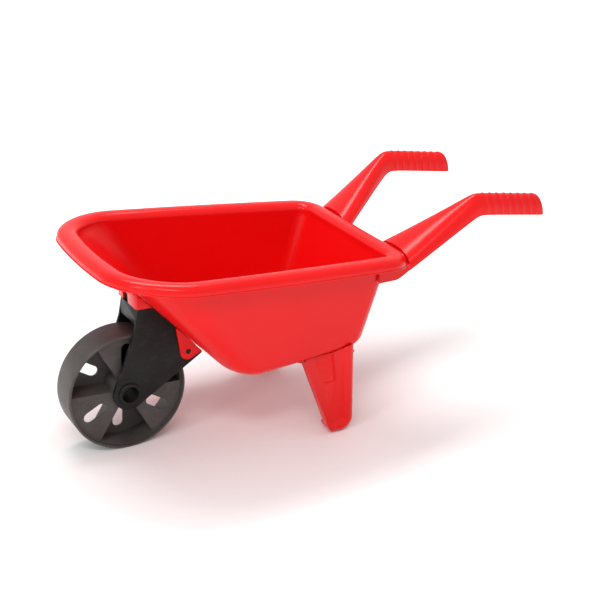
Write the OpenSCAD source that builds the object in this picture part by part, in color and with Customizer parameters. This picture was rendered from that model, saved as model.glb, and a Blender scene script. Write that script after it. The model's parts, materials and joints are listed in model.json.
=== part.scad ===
// Child's wheelbarrow: moulded tub, two legs, two handles, and a fork that carries one wheel.
// Sizes are in millimetres. X runs from the wheel (-) to the handles (+), Z is up, and the
// halves mirror about Y = 0. Shapes are drawn with the axle over X = 0 and then moved so that
// the origin is on the floor, under the middle of the whole length.

/* [Wheel] */
// Radius of the wheel
wheel_r = 90; // [86:1:94]
// Width of the wheel across its rims
wheel_w = 54; // [50:1:54]
// Radius of the wheel's hub
hub_r = 21; // [19:0.5:23]
// Thickness of the wheel's tread and webs
wheel_wall = 3.5; // [3:0.5:5]
// Depth of each web below its face of the wheel
web_depth = 7; // [4:0.5:8]

/* [Axle] */
// Radius of the hollow axle
axle_r = 15; // [13:0.5:15.5]
// Radius of the hole through the axle
axle_bore_r = 12.5; // [10:0.5:12.5]
// Radial clearance of the wheel on the axle
axle_clearance = 0.08; // [0.05:0.01:0.1]
// Length of each ring that keeps the axle in
axle_ring_w = 3; // [2:0.5:4]

/* [Fork] */
// Thickness of each cheek of the fork
cheek_t = 4; // [3:0.5:4]
// Gap between the two cheeks
cheek_gap = 58; // [57.6:0.2:59]
// Radius of the round lower end of each cheek
fork_end_r = 25; // [23:0.5:26]

/* [Tub] */
// Length of the tub over its rim
tub_len = 468; // [460:1:470]
// Width of the tub at the front of its rim
tub_front_w = 368; // [360:1:374]
// Width of the tub at the back of its rim
tub_back_w = 322; // [318:1:326]
// Height of the underside of the floor
floor_z = 130; // [128:1:132]
// Height of the top of the rim above the axle
rim_z = 306; // [302:1:308]
// Fall of the rim towards the handles, per millimetre
rim_fall = 0.088; // [0.08:0.002:0.1]
// Wall thickness of the tub
wall_t = 3; // [2.5:0.1:3.5]

/* [Handles] */
// Distance between the centres of the two grips
grip_spacing = 257; // [250:1:260]
// Width of a grip
grip_w = 28; // [26:0.5:30]
// Height of a grip
grip_h = 30; // [28:0.5:31]
// Number of raised ribs on a grip
grip_ribs = 8; // [4:1:8]
// Height of each rib
rib_h = 0.5; // [0.3:0.1:1]
// Wall thickness of the handles
handle_t = 3; // [2.5:0.1:3.5]

/* [Legs] */
// Half the distance over the outer faces of the legs
leg_out_y = 137; // [135:0.5:137]
// Wall thickness of the legs
leg_t = 3; // [2.5:0.1:3.5]

/* [Screws] */
// Radius of the screw shanks
screw_r = 2; // [1.8:0.1:2.1]
// Radius of the screw heads
screw_head_r = 4; // [3.5:0.1:4.2]

/* [Hidden] */
$fn = 64;
red = "#d8141a";
black = "#2d2a29";
grey = "#46423f";
steel = "#b9bcc0";
eps = 0.01;
gap = 0.3;              // seat gap between separate mouldings

axle_z = wheel_r;
cheek_in = cheek_gap / 2;
cheek_out = cheek_in + cheek_t;
bracket_in = cheek_out + gap;
bracket_t = 3.2;        // wall thickness of the fork bracket
bracket_out = bracket_in + bracket_t;
ring_out = cheek_out + 0.6 + axle_ring_w;

// Tub outlines: [front x, back x, front half width, back half width, front corner radius,
// back corner radius, bow of the front edge, bow of the sides]
rim_w = 28;
tub_front_x = -59;
front_bow = 19;
rim_line = [tub_front_x + front_bow, tub_front_x + tub_len, tub_front_w / 2, tub_back_w / 2,
            96, 46, front_bow, 6];
wall_line = [rim_line[0] + rim_w, rim_line[1] - rim_w, rim_line[2] - rim_w, rim_line[3] - rim_w,
             66, 20, 17, 5];
floor_line = [125.4, 340, 158, 128, 33, 33, 3.4, 2];
tongue_z = 253.5;       // top of each handle's tongue, just under the rim
rim_drop = 14;          // depth of the rolled rim
skirt_drop = 16;        // depth of the skirt's lip
fillet = 0.14;          // part of the wall's height that the floor's fillet takes
fillet_r = 28.6;        // how far in the floor's fillet reaches

// Handle lines, each a straight arm blended into a straight grip
arm_x = tub_front_x + tub_len + 0.5;
bend_x = 529;
grip_end_x = 651;
grip_y = grip_spacing / 2;
grip_slope = -0.165;
grip_base_z = 311;

total_mid_x = (grip_end_x - wheel_r) / 2;

// ---- helpers ----
module placed() translate([-total_mid_x, 0, 0]) children();
module along_y(y0, y1, r, fn = 64)
    translate([0, y0, 0]) rotate([-90, 0, 0]) cylinder(r = r, h = y1 - y0, $fn = fn);
// A plate whose outline lies in X and Z, from y0 to y1
module plate_xz(points, y0, y1)
    translate([0, y1, 0]) rotate([90, 0, 0]) linear_extrude(y1 - y0) polygon(points);
module both_sides() { children(); mirror([0, 1, 0]) children(); }

function mix(a, b, t) = a + (b - a) * t;
function soft_min(a, b, k) = (a + b - sqrt(pow(a - b, 2) + k * k)) / 2;
function power(v, p) = sign(v) * pow(abs(v), p);

// Blocks under the back of the rim take the handle screws. Their edges lie on the tub's points.
handle_screw_x = 396;
handle_screw_y = [66, 104];
block_half = 5;
block_edge = 0.4;       // width of a block's steep sides
block_y = concat([0], [for (y = handle_screw_y)
    each [y - block_half - block_edge, y - block_half, y + block_half, y + block_half + block_edge]]);
function in_block(p) = p[0] > wall_line[1] &&
    min([for (y = handle_screw_y) abs(abs(p[1]) - y)]) < block_half + 0.1;
// Points of one closed level of the tub, counterclockwise from above
function side_y(o, x) = mix(o[2], o[3], (x - o[0]) / (o[1] - o[0]));
function half_line(o) =
    let (lean = atan((o[3] - o[2]) / (o[1] - o[0])),
         bx = o[1] - o[5], by = side_y(o, bx) - o[5] / cos(lean),
         fx = o[0] + o[4], fy = side_y(o, fx) - o[4] / cos(lean),
         turn = 90 + lean,
         b_end = [bx + o[5] * cos(turn), by + o[5] * sin(turn)],
         f_start = [fx + o[4] * cos(turn), fy + o[4] * sin(turn)])
    concat([for (y = block_y) [o[1], y * min(1, (by - 2) / block_y[8])]],
           [for (k = [0:6]) [bx + o[5] * cos(turn * k / 6), by + o[5] * sin(turn * k / 6)]],
           [for (k = [1:5]) mix(b_end, f_start, k / 6)],
           [for (k = [0:8]) let (a = mix(turn, 180, k / 8)) [fx + o[4] * cos(a), fy + o[4] * sin(a)]],
           [for (k = [1:4]) [o[0], fy * (1 - k / 4)]]);
function bowed(o, p) =
    let (mid = (o[0] + o[1]) / 2, half = (o[1] - o[0]) / 2,
         across = max(0, 1 - pow(p[1] / o[2], 2)), along = max(0, 1 - pow((p[0] - mid) / half, 2)))
    [p[0] - o[6] * across * max(0, (mid - p[0]) / half), p[1] * (1 + o[7] * along / o[2])];
function level(o) =
    let (h = [for (p = half_line(o)) bowed(o, p)], n = len(h))
    concat(h, [for (k = [n - 2:-1:1]) [h[k][0], -h[k][1]]]);

rim_pts = level(rim_line);
wall_pts = level(wall_line);
floor_pts = level(floor_line);
ring_n = len(rim_pts);
function rim_plane(x) = rim_z - rim_fall * x;
// A ring of the rolled rim: d is how far in from the lip, h how far above the rim plane
function rim_ring(d, h, under = false) = [for (i = [0:ring_n - 1])
    let (p = mix(rim_pts[i], wall_pts[i], d / rim_w), z = rim_plane(p[0]) + h,
         solid = under && d > wall_t + 1 && d < rim_w - 1 && in_block(p))
    [p[0], p[1], solid ? min(z, tongue_z + 0.05 + 0.01 * abs(d - rim_w / 2)) : z]];
// Insets a level towards the middle of the tub by d
function inward(pts, i) =
    let (a = pts[(i + ring_n - 1) % ring_n], b = pts[(i + 1) % ring_n], t = (b - a) / norm(b - a))
    [-t[1], t[0]];
function wall_top(i, d) =
    let (p = wall_pts[i] + d * inward(wall_pts, i)) [p[0], p[1], rim_plane(p[0]) - rim_drop];
function wall_foot(i, d) =
    let (p = floor_pts[i] + d * inward(floor_pts, i)) [p[0], p[1], floor_z + d];
function wall_ring(t, d) = [for (i = [0:ring_n - 1]) mix(wall_foot(i, d), wall_top(i, d), t)];
// The rounded edge between the wall and the floor
function edge_ring(u, d) = [for (i = [0:ring_n - 1])
    let (foot = wall_foot(i, d), up = mix(foot, wall_top(i, d), fillet),
         in = floor_pts[i] + fillet_r * inward(floor_pts, i), low = [in[0], in[1], floor_z + d])
    mix(mix(up, foot, u), mix(foot, low, u), u)];
edge_steps = 5;
roll_steps = 8;
roll_power = 0.8;       // below 1 the rolled rim is squarer than an ellipse
lip_in = 1.2;           // how far the roll starts in from the lip
lip_t = wall_t + 0.8;
// A point of the rolled rim's section, t below its outer skin
function roll(t, angle) = let (a = (rim_w + wall_t - lip_in) / 2 - t)
    [lip_in + t + a + a * power(cos(angle), roll_power),
     -rim_drop + (rim_drop - t) * power(sin(angle), roll_power)];
tub_rings = concat(
    [for (k = [edge_steps:-1:0]) edge_ring(k / edge_steps, wall_t)],
    [wall_ring(0.55, wall_t)],
    [for (k = [0:roll_steps]) let (r = roll(0, 180 * k / roll_steps)) rim_ring(r[0], r[1])],
    [rim_ring(0, -skirt_drop + 1), rim_ring(0, -skirt_drop), rim_ring(lip_t, -skirt_drop)],
    [for (k = [roll_steps:-1:0]) let (r = roll(wall_t, 180 * k / roll_steps)) rim_ring(r[0], r[1], true)],
    [wall_ring(0.55, 0)],
    [for (k = [0:edge_steps]) edge_ring(k / edge_steps, 0)]);

// A closed skin over rings of n points each; each end is a fan round its middle
function middle(ring) = [for (axis = [0:2])
    (min([for (p = ring) p[axis]]) + max([for (p = ring) p[axis]])) / 2];
module skin(rings, n) {
    count = len(rings);
    polyhedron(
        points = concat([for (r = rings) each r], [middle(rings[0]), middle(rings[count - 1])]),
        faces = concat(
            [for (i = [0:n - 1]) [(i + 1) % n, i, count * n]],
            [for (k = [0:count - 2], i = [0:n - 1])
                [k * n + i, k * n + (i + 1) % n, (k + 1) * n + (i + 1) % n]],
            [for (k = [0:count - 2], i = [0:n - 1])
                [k * n + i, (k + 1) * n + (i + 1) % n, (k + 1) * n + i]],
            [for (i = [0:n - 1]) [(count - 1) * n + i, (count - 1) * n + (i + 1) % n, count * n + 1]]));
}

// The middle of the front wall: a straight slope from the floor to the rim
slope_foot = [floor_line[0] - floor_line[6], floor_z];
slope_top = [wall_line[0] - wall_line[6], rim_plane(wall_line[0] - wall_line[6]) - rim_drop];
slope_dir = (slope_top - slope_foot) / norm(slope_top - slope_foot);
slope_out = [-slope_dir[1], slope_dir[0]];    // away from the tub, forwards and down
slope_angle = atan2(slope_dir[1], slope_dir[0]);
function on_slope(s, d) = slope_foot + s * slope_dir + d * slope_out;

// A screw standing on its tip: the top of its shank is at z = 0 and the head is above it
module screw(length) {
    translate([0, 0, -length]) cylinder(r = screw_r - 0.05, h = length + eps);
    cylinder(r = screw_head_r, h = 1.6);
    translate([0, 0, 1.6 - eps]) cylinder(r1 = screw_head_r, r2 = screw_head_r - 1, h = 0.9);
}

// Where the screws stand
bracket_screw_s = [62, 130];        // along the front slope
bracket_screw_y = 18;
leg_screw_x = [246, 302];
leg_screw_y = 100;

module on_bracket_screws()
    for (s = bracket_screw_s, side = [-1, 1])
        let (p = on_slope(s, 0))
            translate([p[0], side * bracket_screw_y, p[1]]) rotate([0, 180 - slope_angle, 0]) children();
module on_leg_screws()
    for (x = leg_screw_x, side = [-1, 1]) translate([x, side * leg_screw_y, floor_z]) children();
module on_handle_screws()
    for (y = handle_screw_y, side = [-1, 1]) translate([handle_screw_x, side * y, tongue_z]) children();

// ---- tub ----
module tray() color(red) placed() skin(tub_rings, ring_n);

// ---- fork bracket: a back plate on the front slope, a socket on top and two ears below ----
socket_x = 15;          // front of the socket
socket_z = 220.5;       // lower edge of the socket
window_y = [-5, 14];    // sides of the window in the front of the socket
window_h = 14;
ear_hole = [93, 139];
ear_r = 12.5;
stud_r = 3.8;
plate_low = 24;         // ends of the back plate, measured along the slope
plate_high = 168;
ear_s = 65;             // where the ears end, along the slope
seat_s = 122;           // where the socket's sides meet the tub
wide_s = 140;           // from here up the back plate is as wide as the socket
plate_half = cheek_in - gap;        // half width of the back plate between the fork's cheeks

// A plate that lies on the front slope, from one place along it to another
module slope_plate(s0, s1, half, lift = gap, t = bracket_t)
    plate_xz([on_slope(s0, lift), on_slope(s0, lift + t), on_slope(s1, lift + t), on_slope(s1, lift)],
             -half, half);
// Bevels the two upright front corners of a moulding that starts at x0 and is y_out wide to each side
module front_corners(x0, y_out, depth, width, z0, h)
    both_sides() translate([x0, y_out, z0]) linear_extrude(h)
        polygon([[-1, -width - width / depth], [depth * 1.5, width / 2], [-1, width / 2]]);
module bracket_side() {
    roof = on_slope(plate_high, gap);
    plate_xz([[socket_x, socket_z], on_slope(seat_s, gap), roof, [socket_x, roof[1]]],
             bracket_in, bracket_out);
    plate_xz([[ear_hole[0] - ear_r, ear_hole[1] + 2], on_slope(ear_s + 3, gap + 1), on_slope(ear_s, gap),
              on_slope(9, gap + 1), [ear_hole[0] + ear_r * cos(50), ear_hole[1] - ear_r * sin(50)]],
             bracket_in, bracket_out);
    translate([ear_hole[0], 0, ear_hole[1]]) along_y(bracket_in, bracket_out, ear_r);
}
module fork_bracket() color(red) placed() difference() {
    union() {
        both_sides() bracket_side();
        // back plate, screwed to the front slope of the tub
        slope_plate(plate_low, plate_high, plate_half);
        slope_plate(plate_low, ear_s, bracket_out);
        slope_plate(wide_s, plate_high, bracket_out);
        // front of the socket, with a window over the fork's tongue
        roof_z = on_slope(plate_high, gap)[1];
        translate([socket_x, -bracket_out, socket_z]) cube([bracket_t, 2 * bracket_out, roof_z - socket_z]);
        on_bracket_screws() translate([0, 0, -gap - 9]) cylinder(r = 5, h = 8);
    }
    front_corners(socket_x, bracket_out, 2, 5, socket_z - 1, 60);
    translate([socket_x - 1, window_y[0], socket_z - 1])
        cube([bracket_t + 2, window_y[1] - window_y[0], window_h + 1]);
    on_bracket_screws() translate([0, 0, -12]) cylinder(r = screw_r, h = 14);
    translate([ear_hole[0], 0, ear_hole[1]]) along_y(-bracket_out - 1, bracket_out + 1, stud_r + 0.3);
    // the roof of the socket follows the tub
    plate_xz([on_slope(0, gap - eps), on_slope(plate_high + 40, gap - eps),
              on_slope(plate_high + 40, -60), on_slope(0, -60)], -60, 60);
}

// ---- fork ----
fork_low = [116.5, 131.7];  // lower back corner of each cheek
fork_wall = gap + bracket_t + 1;        // how far the cheeks stay from the front slope
crown_x = socket_x + 0.5;       // front of the crown, the web that joins the cheeks above the wheel
crown_z = 194;
inner_x = crown_x + bracket_t + gap;    // the cheeks stand back behind the socket's front
// Where the straight lower edge of a cheek meets its round end
tangent = let (d = [fork_low[0], fork_low[1] - axle_z],
               a = atan2(d[1], d[0]) - 90 + asin(fork_end_r / norm(d)))
    [fork_end_r * cos(a), axle_z + fork_end_r * sin(a)];
module fork_cheek() {
    plate_xz([tangent, fork_low, on_slope(12, 2), on_slope(20, fork_wall), on_slope(ear_s + 1, fork_wall),
              on_slope(ear_s + 1.5, gap + 0.2), on_slope(seat_s - 1, gap + 0.2),
              on_slope(seat_s + 1, fork_wall),
              [inner_x + 3.2, 228], [inner_x, 228], [inner_x, socket_z - 1], [crown_x, socket_z - 1],
              [crown_x, 205], [crown_x - 2, 190], [5.5, 167],
              [-fork_end_r * 0.92, axle_z + fork_end_r * 0.392]], cheek_in, cheek_out);
    translate([0, 0, axle_z]) along_y(cheek_in - 0.1, cheek_out + 0.6, fork_end_r);
    translate([ear_hole[0], 0, ear_hole[1]]) along_y(cheek_out - 1, bracket_out - 0.6, stud_r);
}
// The crown's front corners are cut by a sloping plane, which runs out at the lower end
corner_low = 190;
corner_top = 222;
corner_cut = [4.5, 11];  // depth and width of the cut at its top
corner_dir = cross([corner_cut[0], corner_cut[1], 0], [-2, corner_cut[1], corner_low - corner_top]);
module crown_corners() both_sides() intersection() {
    translate([crown_x - 10, cheek_out - 12, corner_low]) cube([20, 14, 40]);
    translate([crown_x, cheek_out - corner_cut[1], corner_top])
        rotate([0, acos(corner_dir[2] / norm(corner_dir)), atan2(corner_dir[1], corner_dir[0])])
            translate([-40, -40, 0]) cube([80, 80, 20]);
}
module fork() color(black) placed() difference() {
    union() {
        both_sides() fork_cheek();
        // web between the cheeks, above the wheel, and its tongue in the socket's window
        translate([crown_x, -cheek_in - 1, crown_z])
            cube([cheek_t, 2 * cheek_in + 2, socket_z - 1 - crown_z]);
        translate([inner_x, -cheek_in - 1, socket_z - 4]) cube([cheek_t, 2 * cheek_in + 2, window_h]);
        // brace behind the wheel
        slope_plate(34, 44, cheek_in + 1, fork_wall, cheek_t);
    }
    crown_corners();
    translate([0, 0, axle_z]) along_y(-cheek_out - 2, cheek_out + 2, axle_r);
}

// ---- axle ----
module axle() color(black) placed() translate([0, 0, axle_z]) difference() {
    along_y(-ring_out, ring_out, axle_r);
    along_y(-ring_out - 1, ring_out + 1, axle_bore_r);
}
module axle_ring(side) color(black) placed() translate([0, 0, axle_z]) mirror([0, side > 0 ? 0 : 1, 0])
    translate([0, cheek_out + 0.6, 0]) rotate([-90, 0, 0]) rotate_extrude()
        polygon([[axle_r, 0], [axle_r + 2, 0], [axle_r + 2, axle_ring_w - 1], [axle_r + 1, axle_ring_w],
                 [axle_r, axle_ring_w]]);
module left_axle_ring() axle_ring(1);
module right_axle_ring() axle_ring(-1);
spacer_gap = 0.2;
module wheel_spacer(side) color(steel) placed() translate([0, 0, axle_z])
    mirror([0, side > 0 ? 0 : 1, 0]) difference() {
        along_y(wheel_w / 2 + spacer_gap, cheek_in - 0.1, hub_r - 1);
        along_y(0, cheek_in + 1, axle_r);
    }
module left_wheel_spacer() wheel_spacer(1);
module right_wheel_spacer() wheel_spacer(-1);

// ---- wheel ----
web_z = wheel_w / 2 - web_depth;
slot_in = 45;           // ends of the slots, measured to the centres of their round ends
slot_out = 66.5;
slot_r = 8.2;
tread_cut = 1.5;        // chamfer on the edges of the tread
first_web = -63;        // where the first raised web starts, in degrees
web_depth_in = wheel_wall - web_z;      // height of a deep web's near face
pocket_h = wheel_w + web_z - wheel_wall;

// The pocket that leaves one web: open to the far side under a raised web, and to the near side
// over a deep one. Its straight sides stay half a wall from the line between two webs.
module pocket(a, raised) rotate(a) translate([0, 0, raised ? -wheel_w : web_depth_in])
    intersection() {
        difference() {
            cylinder(r = wheel_r - wheel_wall - tread_cut, h = pocket_h);
            translate([0, 0, -1]) cylinder(r = hub_r + 1, h = pocket_h + 2);
        }
        linear_extrude(pocket_h)
            polygon([[wheel_wall, 0], [wheel_wall + 120, -120 * tan(30)], [wheel_wall + 120, 120 * tan(30)]]);
    }
module slot(a) rotate(a) {
    translate([slot_in, 0, -wheel_w]) cylinder(r = slot_r, h = 2 * wheel_w);
    translate([slot_out, 0, -wheel_w]) cylinder(r = slot_r, h = 2 * wheel_w);
    translate([slot_in, -slot_r, -wheel_w]) cube([slot_out - slot_in, 2 * slot_r, 2 * wheel_w]);
}
// Half of the wheel's section: hub, web and tread, with small chamfers on the tread
module wheel_section() {
    h = wheel_w / 2;
    in = wheel_r - wheel_wall;
    polygon([[0, -h], [hub_r, -h], [hub_r, -web_z], [in, -web_z], [in, -h],
        [wheel_r - tread_cut, -h], [wheel_r, -h + tread_cut], [wheel_r, h - tread_cut],
        [wheel_r - tread_cut, h], [in, h], [in, web_z], [hub_r, web_z], [hub_r, h], [0, h]]);
}
module wheel() color(grey) placed() translate([0, 0, axle_z]) rotate([90, 0, 0]) difference() {
    rotate_extrude($fn = 96) wheel_section();
    for (k = [0:5]) pocket(first_web + 30 + 60 * k, k % 2 == 0);
    for (k = [0:5]) slot(first_web + 30 + 60 * k);
    cylinder(r = axle_r + axle_clearance, h = wheel_w + 2, center = true);
}

// ---- handles: half shells, open below ----
rib_first = 543;
rib_pitch = 13.3;
end_r = 12;             // rounding of the grip's end
function arm_out(x) = soft_min(139.3 + 0.03 * (x - arm_x), grip_y + grip_w / 2, 1);
function arm_in(x) = soft_min(46.4 + 0.59 * (x - arm_x), grip_y - grip_w / 2, 6);
function arm_low(x) =
    soft_min(243.3 + 0.564 * (x - arm_x), grip_base_z + grip_slope * (x - bend_x - 1), 5);
function arm_top(x) =
    soft_min(269.5 + 0.62 * (x - arm_x), grip_base_z + grip_h + 1 + grip_slope * (x - bend_x), 6);
arm_power = 0.88;       // 1 is a half ellipse, less is squarer
function end_round(x) = sqrt(max(0, 1 - pow(max(0, (x - (grip_end_x - end_r)) / end_r), 2)));
// One section of a handle: grow thickens it, and a negative grow makes the hollow
function arm_ring(x, grow, drop = 0) =
    let (y0 = arm_in(x), y1 = arm_out(x), low = arm_low(x), full = arm_top(x) - low,
         high = full * mix(0.42, 1, end_round(x)), half = (y1 - y0) / 2 * mix(0.8, 1, end_round(x)))
    concat([for (k = [0:arm_steps])
        let (a = 180 - 180 * k / arm_steps)
        [x, (y0 + y1) / 2 + (half + grow) * power(cos(a), arm_power),
         low - drop + (high + grow + drop) * power(sin(a), arm_power)]]);
arm_steps = 14;
rib_x = [for (k = [0:grip_ribs - 1])
    let (x = rib_first + k * rib_pitch) each [x - 1.1, x - 0.4, x + 0.4, x + 1.1]];
arm_x_list = concat([arm_x, mix(arm_x, bend_x - 20, 0.33), mix(arm_x, bend_x - 20, 0.67)],
    [for (k = [0:4]) bend_x - 20 + k * 6.4]);
end_x_list = [for (k = [0:4]) grip_end_x - end_r + end_r * sin(18 * k)];
function rib_grow(k) = (k % 4 == 1 || k % 4 == 2) ? rib_h : 0;
module handle_shell() difference() {
    skin(concat([for (x = arm_x_list) arm_ring(x, 0)],
                [for (k = [0:len(rib_x) - 1]) arm_ring(rib_x[k], rib_grow(k))],
                [for (x = end_x_list) arm_ring(x, 0)], [arm_ring(grip_end_x, 0)]), arm_steps + 1);
    skin(concat([for (x = arm_x_list) arm_ring(x + handle_t, -handle_t, 4)],
                [for (x = [rib_x[0], grip_end_x - end_r, grip_end_x - handle_t]) arm_ring(x, -handle_t, 4)]),
         arm_steps + 1);
}
wing_low = 232;
// Lower edge of the two wings, and their upper end at the root of the arm
wing_edge = [[384, wing_low], [394, wing_low + 3], [arm_x + 2, 244.8], [arm_x + 2, 249],
             [arm_x, tongue_z - 0.1]];
module handle() {
    handle_shell();
    plate_xz(concat([[356, wing_low]], wing_edge, [[356, 257.8]]),
             arm_out(arm_x) - handle_t + 0.2, arm_out(arm_x) - 0.3);
    plate_xz(concat([[381, wing_low]], wing_edge, [[384, tongue_z - 0.1]]),
             arm_in(arm_x) + 0.3, arm_in(arm_x) + handle_t - 0.2);
    // tongue under the rim
    difference() {
        translate([382.5, arm_in(arm_x) + 1, tongue_z - handle_t])
            cube([arm_x + 1.5 - 382.5, arm_out(arm_x) - arm_in(arm_x) - 4, handle_t]);
        for (y = handle_screw_y)
            translate([handle_screw_x, y, tongue_z - 8]) cylinder(r = screw_r + 0.2, h = 12);
    }
}
module left_handle() color(red) placed() handle();
module right_handle() color(red) placed() mirror([0, 1, 0]) handle();

// ---- legs: a web with a thin front flange and a round back column that turns along the foot ----
leg_back = 320;         // straight back edge
leg_front = 229;        // front edge at the top
leg_high = 142;         // blank height, before the top is cut to the tub
heel_r = 22;
toe_r = 20;
toe_x = 293;
bead_r = 12;            // radius of the column and of the bead along the foot
sole_cut = 0.4;         // the round foot is cut flat by this much
bead_y = leg_out_y - bead_r;
column_x = leg_back - bead_r;
heel = [leg_back - heel_r, heel_r - sole_cut];
toe = [toe_x, toe_r - sole_cut];
web_y = leg_out_y - 5;
flange_low = 9;         // the front flange ends here, above the round toe
web_in = web_y - 10;
column_y = web_y - 24;
leg_top = floor_z - 0.2;
panel_depth = 1.5;
edge_y = 113.5;         // the tub's floor starts to rise here
leg_step = 3;
// How the tub's edge rises above the legs: [x, rise per square millimetre outwards]
edge_rise = [[180, 0.0036], [229, 0.0036], [273, 0.0134], [295, 0.0205], [317, 0.0305], [322, 0.033],
             [400, 0.033]];
// Outline of the leg up to height z, shrunk by d all round
function leg_line(d, z) = concat(
    [for (k = [0:8]) let (a = mix(-90, 0, k / 8)) heel + (heel_r - d) * [cos(a), sin(a)]],
    [[leg_back - d, z], [leg_front + d, z]],
    [for (k = [0:6]) let (a = mix(-161, -90, k / 6)) toe + (toe_r - d) * [cos(a), sin(a)]]);
// The column and the bead along the foot: upright, round the heel, then forwards to the toe
module leg_bead() {
    translate([column_x, bead_y, heel[1]]) cylinder(r = bead_r, h = leg_high - heel[1]);
    translate([heel[0], bead_y, heel[1]]) rotate([90, 0, 0]) intersection() {
        rotate_extrude() intersection() {
            translate([heel_r - bead_r, 0]) circle(r = bead_r);
            translate([0, -bead_r]) square([heel_r, 2 * bead_r]);
        }
        translate([0, -heel_r, -bead_r]) cube([heel_r, heel_r, 2 * bead_r]);
    }
    intersection() {
        translate([toe_x - toe_r, bead_y, heel[1] - heel_r + bead_r]) rotate([0, 90, 0])
            cylinder(r = bead_r, h = heel[0] - toe_x + toe_r);
        toe_side(bead_y - bead_r - 1, leg_out_y + 1);
    }
}
// Keeps what lies inside the round of the toe
module toe_side(y0, y1)
    plate_xz(concat([for (k = [0:6]) let (a = mix(-161, -90, k / 6)) toe + (toe_r - 0.2) * [cos(a), sin(a)]],
                    [[toe_x, -5], [leg_back + 9, -5], [leg_back + 9, 60], [toe_x - toe_r, 60]]), y0, y1);
module leg_blank() difference() {
    union() {
        difference() {
            union() {
                plate_xz(leg_line(leg_t - 0.5, leg_high), web_in, web_y);
                // front flange
                difference() {
                    plate_xz(leg_line(0, leg_high), web_in, leg_out_y);
                    plate_xz(leg_line(leg_t, leg_high + 1), web_in - 1, leg_out_y + 1);
                    translate([heel[0] - bead_r, web_in - 1, -1]) cube([60, 40, leg_high + 2]);
                    translate([toe_x - toe_r - 9, web_in - 1, -1]) cube([60, 40, flange_low + 1]);
                }
            }
            // hollow behind the web
            plate_xz(leg_line(leg_t, leg_high + 1), web_in - 1, web_y - leg_t);
        }
        leg_bead();
        // slender rib between the panel and the column
        plate_xz([[283, leg_high], [290, leg_high], [287, 88]], web_y - 0.5, web_y + 1.6);
        translate([leg_back - 2 * bead_r + 0.2, column_y, heel[1]])
            cube([2 * bead_r - 0.4, bead_y - column_y, 120]);
    }
    // hollow in the column, open towards the middle
    translate([column_x, bead_y, heel[1]]) cylinder(r = bead_r - leg_t, h = leg_high);
    translate([column_x - bead_r + leg_t + 0.2, column_y - 1, heel[1] - 3])
        cube([2 * (bead_r - leg_t) - 0.4, bead_y - column_y + 1, leg_high]);
    // panel sunk in the web
    plate_xz([[248, leg_high + 1], [280.5, leg_high + 1], [286, 89], [283.5, 86.5], [269, 86.5], [265, 90]],
             web_y - panel_depth, web_y + 1);
}
module leg() intersection() {
    union() {
        leg_blank();
        // pad against the floor of the tub, with bosses for the screws
        translate([leg_front + 8, 91, leg_top - leg_t]) cube([leg_back - leg_front - 8, web_y - 92, leg_t]);
        for (x = leg_screw_x) translate([x, leg_screw_y, leg_top - 16]) cylinder(r = 5, h = 16);
        plate_xz([[leg_back - 34, leg_top], [leg_back - 1, leg_top], [leg_back - 1, leg_top - 34]], 93, 96);
    }
    difference() {
        translate([180, 80, 0]) cube([200, 80, 160]);
        for (x = leg_screw_x) translate([x, leg_screw_y, leg_top - 20]) cylinder(r = screw_r, h = 30);
        // the top follows the tub: flat under the floor, then up its rounded edge in narrow steps
        translate([180, 80, floor_z - 0.1]) cube([200, 34, 60]);
        for (k = [0:7]) let (step = leg_step * k)
            plate_xz(concat([for (p = edge_rise) [p[0], floor_z - 0.1 + p[1] * step * step]],
                            [[400, 200], [180, 200]]),
                     edge_y + step - eps, edge_y + step + leg_step);
    }
}
module left_leg() color(red) placed() leg();
module right_leg() color(red) placed() mirror([0, 1, 0]) leg();

// ---- screws ----
module bracket_screws() color(steel) placed() on_bracket_screws() translate([0, 0, wall_t + 0.3]) screw(14);
module leg_screws() color(steel) placed() on_leg_screws() translate([0, 0, wall_t]) screw(16);
module handle_screws() color(steel) placed() on_handle_screws()
    translate([0, 0, -handle_t]) mirror([0, 0, 1]) screw(14);

tray();
fork_bracket();
fork();
wheel();
axle();
left_axle_ring();
right_axle_ring();
left_wheel_spacer();
right_wheel_spacer();
left_handle();
right_handle();
left_leg();
right_leg();
bracket_screws();
handle_screws();
leg_screws();
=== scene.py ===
import json
import math

import bmesh
import bpy
from mathutils import Matrix, Vector

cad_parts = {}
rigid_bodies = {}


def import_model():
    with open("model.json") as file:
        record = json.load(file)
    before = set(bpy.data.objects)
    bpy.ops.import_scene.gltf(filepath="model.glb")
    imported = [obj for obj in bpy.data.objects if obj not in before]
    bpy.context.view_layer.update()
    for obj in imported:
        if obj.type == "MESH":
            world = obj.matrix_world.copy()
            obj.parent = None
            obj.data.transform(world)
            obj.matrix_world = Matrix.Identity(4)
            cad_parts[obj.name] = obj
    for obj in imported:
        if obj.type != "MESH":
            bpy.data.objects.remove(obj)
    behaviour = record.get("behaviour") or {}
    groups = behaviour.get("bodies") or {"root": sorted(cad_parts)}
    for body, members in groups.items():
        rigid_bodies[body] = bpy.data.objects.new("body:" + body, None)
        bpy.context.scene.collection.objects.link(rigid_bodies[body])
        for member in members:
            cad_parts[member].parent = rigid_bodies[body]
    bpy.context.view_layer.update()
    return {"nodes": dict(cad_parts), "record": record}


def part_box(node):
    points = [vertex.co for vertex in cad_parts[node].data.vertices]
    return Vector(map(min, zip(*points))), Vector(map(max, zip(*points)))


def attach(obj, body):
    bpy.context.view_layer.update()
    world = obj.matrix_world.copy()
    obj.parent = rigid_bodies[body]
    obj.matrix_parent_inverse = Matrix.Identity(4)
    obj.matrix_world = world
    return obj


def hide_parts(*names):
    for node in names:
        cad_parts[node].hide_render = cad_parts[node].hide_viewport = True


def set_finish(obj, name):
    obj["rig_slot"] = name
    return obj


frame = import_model()
print("stage: frame loaded")

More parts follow.
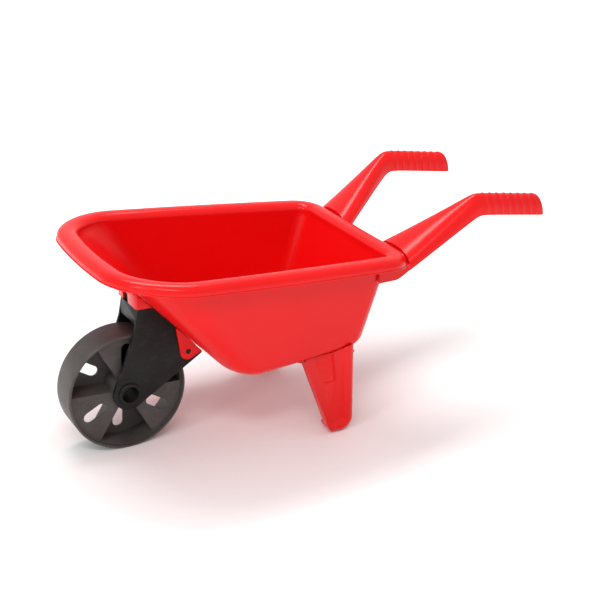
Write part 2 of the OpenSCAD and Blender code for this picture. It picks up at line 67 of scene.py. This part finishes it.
mm = 0.001
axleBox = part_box("axle")
axleX = (axleBox[0][0] + axleBox[1][0]) / 2


# ---- small helpers ----
def place(x, y, z):
    # lengths in mm, measured from the floor under the axle
    return Vector((axleX + x * mm, y * mm, z * mm))


def mix(a, b, t):
    return a + (b - a) * t


def softMin(a, b, k):
    return (a + b - math.sqrt((a - b) ** 2 + k * k)) / 2


def power(value, exponent):
    return math.copysign(abs(value) ** exponent, value)


def startPiece(name):
    # names the primitive just added and opens it in edit mode
    obj = bpy.context.active_object
    obj.name = name
    obj.data.name = name
    bpy.ops.object.mode_set(mode="EDIT")
    return obj


def only(obj):
    bpy.ops.object.select_all(action="DESELECT")
    obj.select_set(True)
    bpy.context.view_layer.objects.active = obj


def addModifier(obj, kind, **values):
    only(obj)
    modifier = obj.modifiers.new(kind.title(), kind)
    for key, value in values.items():
        setattr(modifier, key, value)
    bpy.ops.object.modifier_apply(modifier=modifier.name)


def tidyNormals(obj):
    only(obj)
    bpy.ops.object.mode_set(mode="EDIT")
    bpy.ops.mesh.select_all(action="SELECT")
    bpy.ops.mesh.remove_doubles(threshold=0.01 * mm)
    bpy.ops.mesh.normals_make_consistent(inside=False)
    bpy.ops.object.mode_set(mode="OBJECT")


def loft(name, rings):
    # a filled circle is extruded once for each further ring, and each ring is moved to its line
    bpy.ops.object.select_all(action="DESELECT")
    bpy.ops.mesh.primitive_circle_add(vertices=len(rings[0]), radius=mm, fill_type="NGON")
    obj = startPiece(name)
    bpy.ops.mesh.select_mode(type="FACE")
    bpy.ops.mesh.select_all(action="SELECT")
    for number, ring in enumerate(rings):
        if number:
            bpy.ops.mesh.extrude_region_move(TRANSFORM_OT_translate={"value": (0, 0, mm)})
        mesh = bmesh.from_edit_mesh(obj.data)
        for face in [face for face in mesh.faces if face.select]:
            for vert, point in zip(face.verts, ring):
                vert.co = point
        bmesh.update_edit_mesh(obj.data)
    bpy.ops.object.mode_set(mode="OBJECT")
    tidyNormals(obj)
    return obj


def smoothBy(obj, degrees):
    only(obj)
    bpy.ops.object.shade_smooth_by_angle(angle=math.radians(degrees))


# ---- tub ----
tub = {
    "rimLength": 468, "rimFrontX": -59, "frontWidth": 368, "backWidth": 322, "rimWidth": 28,
    "rimZ": 306, "rimFall": 0.088, "rimDrop": 14, "skirtDrop": 16, "lipEdge": 1.2, "rollPower": 0.8,
    "rimFrontRound": 96, "rimBackRound": 46, "rimFrontBow": 19, "rimSideBow": 6,
    "wallFrontRound": 66, "wallBackRound": 20, "wallFrontBow": 17, "wallSideBow": 5, "wall": 3,
    "floorFrontX": 125.4, "floorBackX": 340, "floorFrontHalf": 158, "floorBackHalf": 128,
    "floorRound": 33, "floorFrontBow": 3.4, "floorSideBow": 2, "floorZ": 130,
    "filletShare": 0.14, "filletRadius": 28.6, "smoothAngle": 60,
}
rimLine = {
    "front": tub["rimFrontX"] + tub["rimFrontBow"], "back": tub["rimFrontX"] + tub["rimLength"],
    "frontHalf": tub["frontWidth"] / 2, "backHalf": tub["backWidth"] / 2,
    "frontRound": tub["rimFrontRound"], "backRound": tub["rimBackRound"],
    "frontBow": tub["rimFrontBow"], "sideBow": tub["rimSideBow"],
}
wallLine = {
    "front": rimLine["front"] + tub["rimWidth"], "back": rimLine["back"] - tub["rimWidth"],
    "frontHalf": rimLine["frontHalf"] - tub["rimWidth"], "backHalf": rimLine["backHalf"] - tub["rimWidth"],
    "frontRound": tub["wallFrontRound"], "backRound": tub["wallBackRound"],
    "frontBow": tub["wallFrontBow"], "sideBow": tub["wallSideBow"],
}
floorLine = {
    "front": tub["floorFrontX"], "back": tub["floorBackX"],
    "frontHalf": tub["floorFrontHalf"], "backHalf": tub["floorBackHalf"],
    "frontRound": tub["floorRound"], "backRound": tub["floorRound"],
    "frontBow": tub["floorFrontBow"], "sideBow": tub["floorSideBow"],
}
# how many steps each stretch of a line and each curve of the section takes
endSteps, backSteps, sideSteps, frontSteps, rollSteps, filletSteps = 12, 14, 16, 20, 20, 7


def halfLine(line):
    # one half, from the middle of the back to the middle of the front
    front, back, frontHalf, backHalf = line["front"], line["back"], line["frontHalf"], line["backHalf"]
    frontRound, backRound = line["frontRound"], line["backRound"]
    lean = math.atan((backHalf - frontHalf) / (back - front))

    def sideY(x):
        return mix(frontHalf, backHalf, (x - front) / (back - front))

    bx, fx = back - backRound, front + frontRound
    by = sideY(bx) - backRound / math.cos(lean)
    fy = sideY(fx) - frontRound / math.cos(lean)
    turn = math.pi / 2 + lean
    points = [(back, by * k / endSteps) for k in range(endSteps)]
    for k in range(backSteps + 1):
        angle = turn * k / backSteps
        points.append((bx + backRound * math.cos(angle), by + backRound * math.sin(angle)))
    start = (fx + frontRound * math.cos(turn), fy + frontRound * math.sin(turn))
    end = points[-1]
    for k in range(1, sideSteps):
        points.append((mix(end[0], start[0], k / sideSteps), mix(end[1], start[1], k / sideSteps)))
    for k in range(frontSteps + 1):
        angle = mix(turn, math.pi, k / frontSteps)
        points.append((fx + frontRound * math.cos(angle), fy + frontRound * math.sin(angle)))
    return points + [(front, fy * (1 - k / endSteps)) for k in range(1, endSteps + 1)]


def level(line):
    # a closed line round the tub, bowed a little at the front and sides
    middle, half = (line["front"] + line["back"]) / 2, (line["back"] - line["front"]) / 2
    bowed = []
    for x, y in halfLine(line):
        across = max(0, 1 - (y / line["frontHalf"]) ** 2)
        along = max(0, 1 - ((x - middle) / half) ** 2)
        forward = line["frontBow"] * across * max(0, (middle - x) / half)
        bowed.append((x - forward, y * (1 + line["sideBow"] * along / line["frontHalf"])))
    return bowed + [(x, -y) for x, y in reversed(bowed[1:-1])]


rimPoints, wallPoints, floorPoints = level(rimLine), level(wallLine), level(floorLine)
aroundTub = len(rimPoints)


def rimPlane(x):
    return tub["rimZ"] - tub["rimFall"] * x


def rimRing(inward, height):
    ring = []
    for outer, wall in zip(rimPoints, wallPoints):
        share = inward / tub["rimWidth"]
        x, y = mix(outer[0], wall[0], share), mix(outer[1], wall[1], share)
        ring.append(place(x, y, rimPlane(x) + height))
    return ring


def inwardOf(points, i):
    a, b = points[i - 1], points[(i + 1) % aroundTub]
    length = math.hypot(b[0] - a[0], b[1] - a[1])
    return -(b[1] - a[1]) / length, (b[0] - a[0]) / length


def moveIn(points, i, distance):
    nx, ny = inwardOf(points, i)
    return points[i][0] + distance * nx, points[i][1] + distance * ny


def wallTop(i, depth):
    x, y = moveIn(wallPoints, i, depth)
    return place(x, y, rimPlane(x) - tub["rimDrop"])


def wallFoot(i, depth):
    x, y = moveIn(floorPoints, i, depth)
    return place(x, y, tub["floorZ"] + depth)


def wallRing(share, depth):
    return [wallFoot(i, depth).lerp(wallTop(i, depth), share) for i in range(aroundTub)]


def edgeRing(u, depth):
    # the rounded edge between the wall and the floor
    ring = []
    for i in range(aroundTub):
        foot = wallFoot(i, depth)
        up = foot.lerp(wallTop(i, depth), tub["filletShare"])
        x, y = moveIn(floorPoints, i, tub["filletRadius"])
        low = place(x, y, tub["floorZ"] + depth)
        ring.append(up.lerp(foot, u).lerp(foot.lerp(low, u), u))
    return ring


def rollPoint(depth, angle):
    # a point of the rolled rim's section: distance in from the lip, height over the rim's plane
    reach = (tub["rimWidth"] + tub["wall"] - tub["lipEdge"]) / 2 - depth
    return (tub["lipEdge"] + depth + reach + reach * power(math.cos(angle), tub["rollPower"]),
            -tub["rimDrop"] + (tub["rimDrop"] - depth) * power(math.sin(angle), tub["rollPower"]))


def rollRings(depth):
    return [rimRing(*rollPoint(depth, math.pi * k / rollSteps)) for k in range(rollSteps + 1)]


def filletRings(depth):
    return [edgeRing(k / filletSteps, depth) for k in range(filletSteps + 1)]


def floorRing(depth):
    # halfway between the floor's edge and its middle
    edge = edgeRing(1, depth)
    middle = sum(edge, Vector()) / aroundTub
    return [middle.lerp(point, 0.5) for point in edge]


def makeTub():
    wall, lip = tub["wall"], tub["skirtDrop"]
    rings = [floorRing(wall)] + filletRings(wall)[::-1]
    # shares of the wall's height, closer together towards the rim
    rings += [wallRing(share, wall) for share in (0.3, 0.45, 0.6, 0.75, 0.88, 0.95)]
    rings += rollRings(0)
    # the lip: a small step outside, then a rounded lower edge, as distance inward and height
    for inward, rise in ((0.5, 1.9), (0.12, 1.7), (0, 1.3), (0, 0.3), (0.4, 0),
                         (wall + 0.4, 0), (wall + 0.8, 0.4)):
        rings.append(rimRing(inward, -lip + rise))
    rings += rollRings(wall)[::-1]
    rings += [wallRing(share, 0) for share in (0.92, 0.8, 0.65, 0.5, 0.3)]
    rings += filletRings(0) + [floorRing(0)]
    obj = loft("tubShell", rings)
    smoothBy(obj, tub["smoothAngle"])
    return obj


tubShell = makeTub()
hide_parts("tray")
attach(tubShell, "frame")
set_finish(tubShell, "red_plastic")
print("stage: tub made")


# ---- handles: half shells, open below, with ribbed grips ----
handle = {
    "rootX": 409.5, "bendX": 529, "endX": 651, "gripY": 128.5, "gripWidth": 28, "gripHeight": 30,
    "gripZ": 311, "gripSlope": -0.165, "wall": 3, "endRound": 12, "squareness": 0.88, "openDrop": 4,
    "rootInner": 46.4, "innerFlare": 0.59, "innerBlend": 6, "rootOuter": 139.3, "outerFlare": 0.03,
    "outerBlend": 1, "rootLow": 243.3, "lowRise": 0.564, "lowBlend": 5, "rootTop": 269.5, "topRise": 0.62,
    "topBlend": 6, "endHigh": 0.42, "endWide": 0.8, "ribs": 8, "firstRib": 543, "ribPitch": 13.3,
    "ribHeight": 0.75, "tongueTop": 253.5, "wingLow": 232, "wingFront": 356, "wingFrontTop": 257.8,
    "wingHeel": 384, "wingStep": 249, "smoothAngle": 38,
}
# a rib's section as distance along the grip and share of the rib's height
ribSection = ((-1.1, 0), (-0.75, 0.3), (-0.35, 1), (0.35, 1), (0.75, 0.3), (1.1, 0))
archSteps, armSteps, bendSteps, tipSteps = 36, 8, 8, 11
# the rings are closer together from this far before the bend on
bendRun, bendSpacing = 24, 4


def armSides(x):
    run = x - handle["rootX"]
    outer = softMin(handle["rootOuter"] + handle["outerFlare"] * run,
                    handle["gripY"] + handle["gripWidth"] / 2, handle["outerBlend"])
    inner = softMin(handle["rootInner"] + handle["innerFlare"] * run,
                    handle["gripY"] - handle["gripWidth"] / 2, handle["innerBlend"])
    return inner, outer


def armHeights(x):
    run, grip = x - handle["rootX"], handle["gripSlope"] * (x - handle["bendX"])
    low = softMin(handle["rootLow"] + handle["lowRise"] * run,
                  handle["gripZ"] + grip - handle["gripSlope"], handle["lowBlend"])
    top = softMin(handle["rootTop"] + handle["topRise"] * run,
                  handle["gripZ"] + handle["gripHeight"] + 1 + grip, handle["topBlend"])
    return low, top


def armRing(x, grow=0, drop=0, side=1):
    # an arch across the arm, squarer than a half ellipse, that shrinks where the grip's end is rounded
    inner, outer = armSides(x)
    low, top = armHeights(x)
    past = max(0, (x - (handle["endX"] - handle["endRound"])) / handle["endRound"])
    ending = math.sqrt(max(0, 1 - past * past))
    high = (top - low) * mix(handle["endHigh"], 1, ending)
    half = (outer - inner) / 2 * mix(handle["endWide"], 1, ending)
    ring = []
    for k in range(archSteps + 1):
        angle = math.pi - math.pi * k / archSteps
        y = (inner + outer) / 2 + (half + grow) * power(math.cos(angle), handle["squareness"])
        z = low - drop + (high + grow + drop) * power(math.sin(angle), handle["squareness"])
        ring.append(place(x, side * y, z))
    return ring


def extruded(name, outline, y0, y1):
    # a plate whose outline lies in X and Z
    return loft(name, [[place(x, y0, z) for x, z in outline], [place(x, y1, z) for x, z in outline]])


def boxPiece(name, x0, x1, y0, y1, z0, z1):
    return extruded(name, [(x0, z0), (x1, z0), (x1, z1), (x0, z1)], y0, y1)


def carve(obj, tools, operation="DIFFERENCE"):
    for tool in tools:
        addModifier(obj, "BOOLEAN", object=tool, operation=operation, solver="EXACT")
        bpy.data.objects.remove(tool)
    return obj


def makeShell(name, side):
    # the arm and grip as a hollow arch
    root, bend, end, wall = handle["rootX"], handle["bendX"], handle["endX"], handle["wall"]
    stations = [root + (bend - bendRun - root) * k / armSteps for k in range(armSteps + 1)]
    stations += [bend - bendRun + bendSpacing * k for k in range(1, bendSteps + 1)]
    rings = [armRing(x, side=side) for x in stations]
    for k in range(handle["ribs"]):
        rib = handle["firstRib"] + k * handle["ribPitch"]
        for step, rise in ribSection:
            rings.append(armRing(rib + step, rise * handle["ribHeight"], side=side))
    tip = end - handle["endRound"]
    for k in range(tipSteps + 1):
        rings.append(armRing(tip + handle["endRound"] * math.sin(math.pi / 2 * k / tipSteps), side=side))
    shell = loft(name, rings)
    inside = [root + wall] + [x for x in stations if x > root + wall + 3] + [tip, end - wall]
    hollow = loft("handleHollow", [armRing(x, -wall, handle["openDrop"], side) for x in inside])
    return carve(shell, [hollow])


def makeHandle(name, side):
    shell = makeShell(name, side)
    root, wall, low, top = handle["rootX"], handle["wall"], handle["wingLow"], handle["tongueTop"]
    front, heel, wingTop = handle["wingFront"], handle["wingHeel"], handle["tongueTop"] - 0.1
    inner, outer = armSides(root)
    # the wings share their lower edge and their end at the root of the arm
    edge = [(heel, low), (heel + 5, low + 0.9), (heel + 10, low + 3), (root + 2, handle["rootLow"] + 1.5),
            (root + 2, handle["wingStep"]), (root, wingTop)]
    outerWing = [(front, low), *edge, (front, handle["wingFrontTop"])]
    innerWing = [(heel - 3, low), *edge, (heel, wingTop)]
    parts = [
        extruded("outerWing", outerWing, side * (outer - wall + 0.2), side * (outer - 0.3)),
        extruded("innerWing", innerWing, side * (inner + 0.3), side * (inner + wall - 0.2)),
        boxPiece("tongue", heel - 1.5, root + 1.5, side * (inner + 1), side * (outer - 3), top - wall, top),
    ]
    carve(shell, parts, "UNION")
    smoothBy(shell, handle["smoothAngle"])
    return shell


for handleName, sideSign in (("left", 1), ("right", -1)):
    handleShell = makeHandle(handleName + "HandleShell", sideSign)
    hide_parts(handleName + "_handle")
    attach(handleShell, "frame")
    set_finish(handleShell, "red_plastic")
print("stage: handles made")


# ---- pieces that keep the CAD shape, with their moulded edges rounded ----
# each node's piece, body, slot and the width of its edges' rounding in mm
roundedPieces = {
    "fork": ("forkBody", "frame", "black_plastic", 1.1),
    "fork_bracket": ("bracketBody", "frame", "red_plastic", 0.7),
    "wheel": ("wheelBody", "wheel", "grey_plastic", 0.9),
    "left_leg": ("leftLegBody", "frame", "red_plastic", 1.2),
    "right_leg": ("rightLegBody", "frame", "red_plastic", 1.2),
}
# angles in degrees, the gap in mm
rounding = {"mergeGap": 0.02, "flatAngle": 0.6, "segments": 3, "edgeAngle": 32, "smoothAngle": 40}


def roundedCopy(node, name, body, slotName, width):
    bpy.ops.object.select_all(action="DESELECT")
    source = frame["nodes"][node]
    obj = source.copy()
    obj.data = source.data.copy()
    obj.name = name
    obj.data.name = name
    obj.parent = None
    obj.matrix_world = Matrix.Identity(4)
    bpy.context.scene.collection.objects.link(obj)
    for key in list(obj.keys()):
        del obj[key]
    only(obj)
    bpy.ops.object.mode_set(mode="EDIT")
    bpy.ops.mesh.select_all(action="SELECT")
    bpy.ops.mesh.customdata_custom_splitnormals_clear()
    bpy.ops.mesh.remove_doubles(threshold=rounding["mergeGap"] * mm)
    bpy.ops.mesh.dissolve_limited(angle_limit=math.radians(rounding["flatAngle"]))
    bpy.ops.object.mode_set(mode="OBJECT")
    addModifier(obj, "BEVEL", width=width * mm, segments=rounding["segments"], limit_method="ANGLE",
                angle_limit=math.radians(rounding["edgeAngle"]), harden_normals=False,
                miter_outer="MITER_ARC")
    smoothBy(obj, rounding["smoothAngle"])
    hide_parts(node)
    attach(obj, body)
    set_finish(obj, slotName)


for node, piece in roundedPieces.items():
    roundedCopy(node, *piece)
print("stage: fork, bracket, wheel and legs made")


# ---- materials ----
def linear(code):
    # an sRGB hex value as linear light
    channels = []
    for start in (0, 2, 4):
        value = int(code[start:start + 2], 16) / 255
        channels.append(value / 12.92 if value <= 0.04045 else ((value + 0.055) / 1.055) ** 2.4)
    return (*channels, 1)


def addNode(tree, kind, settings=None, links=None, **values):
    # one node with its settings, its socket values and the links into it
    node = tree.nodes.new(kind)
    for key, value in (settings or {}).items():
        setattr(node, key, value)
    for key, value in values.items():
        node.inputs[key.replace("_", " ")].default_value = value
    for socket, output in (links or {}).items():
        tree.links.new(output, node.inputs[socket])
    return node


def perMetre(sizeInMm):
    # the Scale of a pattern whose features are about this big
    return 1 / (sizeInMm * mm)


def newMaterial(name):
    material = bpy.data.materials.new(name)
    material.use_nodes = True
    tree = material.node_tree
    tree.nodes.clear()
    output = tree.nodes.new("ShaderNodeOutputMaterial")
    shader = tree.nodes.new("ShaderNodeBsdfPrincipled")
    tree.links.new(shader.outputs["BSDF"], output.inputs["Surface"])
    coords = tree.nodes.new("ShaderNodeTexCoord").outputs["Object"]
    return material, tree, shader, coords


def spread(tree, value, low, high, lowFrom=0.3, highFrom=0.7):
    # a value from lowFrom to highFrom as one from low to high
    return addNode(tree, "ShaderNodeMapRange", {"clamp": True}, {"Value": value},
                   From_Min=lowFrom, From_Max=highFrom, To_Min=low, To_Max=high).outputs[0]


def noise(tree, vector, sizeInMm, **values):
    return addNode(tree, "ShaderNodeTexNoise", links={"Vector": vector}, Scale=perMetre(sizeInMm), **values)


def addBump(tree, shader, height, strength, depthInMm):
    bump = addNode(tree, "ShaderNodeBump", links={"Height": height},
                   Strength=strength, Distance=depthInMm * mm)
    tree.links.new(bump.outputs[0], shader.inputs["Normal"])


# where the colour's drift starts and ends, how scuffs are squeezed along X, Y and Z, and how rough they are
pattern = {"driftFrom": 0.35, "driftTo": 0.68, "scuffStretch": (1, 3.5, 1.6), "scuffFrom": 0.5,
           "scuffTo": 0.75, "scuffRoughness": 0.12}


def mouldedPlastic(name, look):
    # colour drifts slowly, gloss drifts with the mould's polish, and the skin has a fine texture
    material, tree, shader, coords = newMaterial(name)
    cloud = noise(tree, coords, look["driftSize"], Detail=3.0)
    ramp = addNode(tree, "ShaderNodeValToRGB", links={"Fac": cloud.outputs["Fac"]})
    shade, colour = ramp.color_ramp.elements
    shade.position, colour.position = pattern["driftFrom"], pattern["driftTo"]
    shade.color, colour.color = linear(look["shade"]), linear(look["colour"])
    # scuffs are short streaks along the toy's length
    stretched = addNode(tree, "ShaderNodeMapping", links={"Vector": coords}, Scale=pattern["scuffStretch"])
    scuffs = noise(tree, stretched.outputs[0], look["scuffSize"], Detail=5.0, Roughness=0.55)
    worn = spread(tree, scuffs.outputs["Fac"], 0, look["scuffAmount"],
                  pattern["scuffFrom"], pattern["scuffTo"])
    tint = addNode(tree, "ShaderNodeMixRGB", links={"Fac": worn, "Color1": ramp.outputs["Color"]},
                   Color2=linear(look["scuff"]))
    tree.links.new(tint.outputs[0], shader.inputs["Base Color"])
    gloss = noise(tree, coords, look["glossSize"], Detail=4.0)
    smooth = spread(tree, gloss.outputs["Fac"], look["roughness"] - look["roughDrift"],
                    look["roughness"] + look["roughDrift"])
    # a scuffed place is a little rougher
    rough = addNode(tree, "ShaderNodeMath", {"operation": "MULTIPLY_ADD"}, {0: worn, 2: smooth})
    rough.inputs[1].default_value = pattern["scuffRoughness"]
    tree.links.new(rough.outputs[0], shader.inputs["Roughness"])
    skin = noise(tree, coords, look["skinSize"], Detail=2.0)
    addBump(tree, shader, skin.outputs["Fac"], look["skinStrength"], look["skinDepth"])
    shader.inputs["Specular IOR Level"].default_value = look["specular"]
    shader.inputs["IOR"].default_value = look["ior"]
    return material


# polypropylene from a polished steel mould: a soft satin gloss over strong colour
redPlastic = {
    "colour": "E00D0F", "shade": "DA0B0D", "scuff": "E61E20", "scuffAmount": 0.05, "driftSize": 150,
    "scuffSize": 30, "glossSize": 60, "roughness": 0.24, "roughDrift": 0.015, "skinSize": 1.2,
    "skinStrength": 0.03, "skinDepth": 0.02, "ior": 1.49, "specular": 0.27,
}
# the same plastic from a spark-eroded mould: black, matt, finely grained
blackPlastic = {
    "colour": "191817", "shade": "131212", "scuff": "3A3735", "scuffAmount": 0.25, "driftSize": 60,
    "scuffSize": 12, "glossSize": 24, "roughness": 0.42, "roughDrift": 0.04, "skinSize": 1.0,
    "skinStrength": 0.2, "skinDepth": 0.07, "ior": 1.49, "specular": 0.2,
}
# the same plastic in grey: a little rougher, so that its highlights spread
greyPlastic = {
    "colour": "4A4644", "shade": "403C3A", "scuff": "615C58", "scuffAmount": 0.3, "driftSize": 50,
    "scuffSize": 10, "glossSize": 20, "roughness": 0.47, "roughDrift": 0.05, "skinSize": 1.2,
    "skinStrength": 0.22, "skinDepth": 0.07, "ior": 1.49, "specular": 0.35,
}
# natural nylon of the wheel spacers: waxy and off-white
whiteNylon = {
    "colour": "CFC9B8", "shade": "BDB7A6", "scuff": "9C9688", "scuffAmount": 0.3, "driftSize": 12,
    "scuffSize": 4, "glossSize": 8, "roughness": 0.45, "roughDrift": 0.05, "skinSize": 0.8,
    "skinStrength": 0.1, "skinDepth": 0.05, "ior": 1.53, "specular": 0.4,
}
# zinc-plated steel: bright grey metal with a faint mottle of plating crystals
zincPlate = {"bright": "B4B7BB", "dull": "8F949A", "crystalSize": 1.4, "smoothest": 0.28, "roughest": 0.42,
             "grainSize": 0.5, "grainStrength": 0.1, "grainDepth": 0.03}


def platedSteel(name, look):
    material, tree, shader, coords = newMaterial(name)
    mottle = addNode(tree, "ShaderNodeTexVoronoi", links={"Vector": coords},
                     Scale=perMetre(look["crystalSize"])).outputs["Distance"]
    ramp = addNode(tree, "ShaderNodeValToRGB", links={"Fac": mottle})
    bright, dull = ramp.color_ramp.elements
    bright.color, dull.color = linear(look["bright"]), linear(look["dull"])
    tree.links.new(ramp.outputs["Color"], shader.inputs["Base Color"])
    shader.inputs["Metallic"].default_value = 1
    roughness = spread(tree, mottle, look["smoothest"], look["roughest"], 0, 1)
    tree.links.new(roughness, shader.inputs["Roughness"])
    grain = noise(tree, coords, look["grainSize"])
    addBump(tree, shader, grain.outputs["Fac"], look["grainStrength"], look["grainDepth"])
    return material


finishes = {
    "red_plastic": mouldedPlastic("redPolypropylene", redPlastic),
    "black_plastic": mouldedPlastic("blackPolypropylene", blackPlastic),
    "grey_plastic": mouldedPlastic("greyPolypropylene", greyPlastic),
    "washer_plastic": mouldedPlastic("naturalNylon", whiteNylon),
    "screw_steel": platedSteel("zincPlatedSteel", zincPlate),
}


def paint(obj, slotName):
    obj.data.materials.clear()
    obj.data.materials.append(finishes[slotName])
    for face in obj.data.polygons:
        face.material_index = 0


for part in frame["record"]["subparts"]:
    paint(frame["nodes"][part["node"]], part["material_slot"])
for obj in bpy.context.scene.objects:
    if obj.type == "MESH" and "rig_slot" in obj:
        paint(obj, obj["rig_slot"])
print("stage: materials made")


# ---- floor, light and camera ----
studio = {
    # the floor's glow values set a painted light: paper emission that grows with distance from the toy
    "floor": "F7F6F6", "floorSize": 14, "paintedGlowNear": 0.4, "paintedGlowFar": 0.8, "paintedGlowStrength": 0.5,
    "paperGrain": 3, "paperSmoothest": 0.82, "paperRoughest": 0.9, "paperSpecular": 0.2,
    "world": 0.74, "backdrop": 1.05,
    "camera": (-0.8684, -1.6355, 0.9480), "cameraTurn": (67.207, 0, -28.475), "lens": 78, "sensor": 36,
    # each light: place, aimed at, width, height, watts
    "lights": {
        "topStrip": ((-0.1, 0.4, 1.6), (0.02, 0.05, 0.2), 1.2, 0.35, 14),
        "sideStrip": ((-1.8, -0.8, 1.4), (0, 0, 0.2), 0.5, 1.2, 8),
        "frontStrip": ((-0.9, -1.5, 1.9), (-0.1, 0, 0.2), 0.9, 0.3, 12),
    },
}

bpy.ops.object.select_all(action="DESELECT")
bpy.ops.mesh.primitive_plane_add(size=studio["floorSize"], location=(0, 0, 0))
floor = bpy.context.active_object
floor.name = "studioFloor"
floorMaterial, floorTree, floorShader, floorCoords = newMaterial("studioPaper")
paperGrain = noise(floorTree, floorCoords, studio["paperGrain"])
paperRoughness = spread(floorTree, paperGrain.outputs["Fac"],
                        studio["paperSmoothest"], studio["paperRoughest"])
floorTree.links.new(paperRoughness, floorShader.inputs["Roughness"])
floorShader.inputs["Base Color"].default_value = linear(studio["floor"])
floorShader.inputs["Specular IOR Level"].default_value = studio["paperSpecular"]
# painted light: the paper's own glow grows away from the toy, so that it fades into the backdrop and its
# shadows far out wash away
distance = addNode(floorTree, "ShaderNodeVectorMath", {"operation": "LENGTH"}, {"Vector": floorCoords})
glow = spread(floorTree, distance.outputs["Value"], 0, studio["paintedGlowStrength"],
              studio["paintedGlowNear"], studio["paintedGlowFar"])
floorTree.links.new(glow, floorShader.inputs["Emission Strength"])
floorShader.inputs["Emission Color"].default_value = (1, 1, 1, 1)
floor.data.materials.append(floorMaterial)

world = bpy.data.worlds.new("studioWorld")
bpy.context.scene.world = world
world.use_nodes = True
# the lens sees a slightly brighter backdrop than the one that lights the toy
backdrop = world.node_tree.nodes["Background"]
backdrop.inputs["Color"].default_value = (1, 1, 1, 1)
rays = addNode(world.node_tree, "ShaderNodeLightPath")
strength = addNode(world.node_tree, "ShaderNodeMapRange", links={"Value": rays.outputs["Is Camera Ray"]},
                   To_Min=studio["world"], To_Max=studio["backdrop"])
world.node_tree.links.new(strength.outputs[0], backdrop.inputs["Strength"])

for lightName, (spot, target, width, height, watts) in studio["lights"].items():
    light = bpy.data.lights.new(lightName, "AREA")
    light.shape = "RECTANGLE"
    light.size, light.size_y, light.energy = width, height, watts
    lamp = bpy.data.objects.new(lightName, light)
    lamp.location = spot
    lamp.rotation_euler = (Vector(spot) - Vector(target)).to_track_quat("Z", "Y").to_euler()
    bpy.context.scene.collection.objects.link(lamp)

camera = bpy.data.objects.new("viewCamera", bpy.data.cameras.new("viewCamera"))
camera.data.lens = studio["lens"]
camera.data.sensor_width = studio["sensor"]
camera.location = studio["camera"]
camera.rotation_euler = [math.radians(turn) for turn in studio["cameraTurn"]]
bpy.context.scene.collection.objects.link(camera)
bpy.context.scene.camera = camera
bpy.context.scene.view_settings.view_transform = "Standard"
print("stage: studio made")
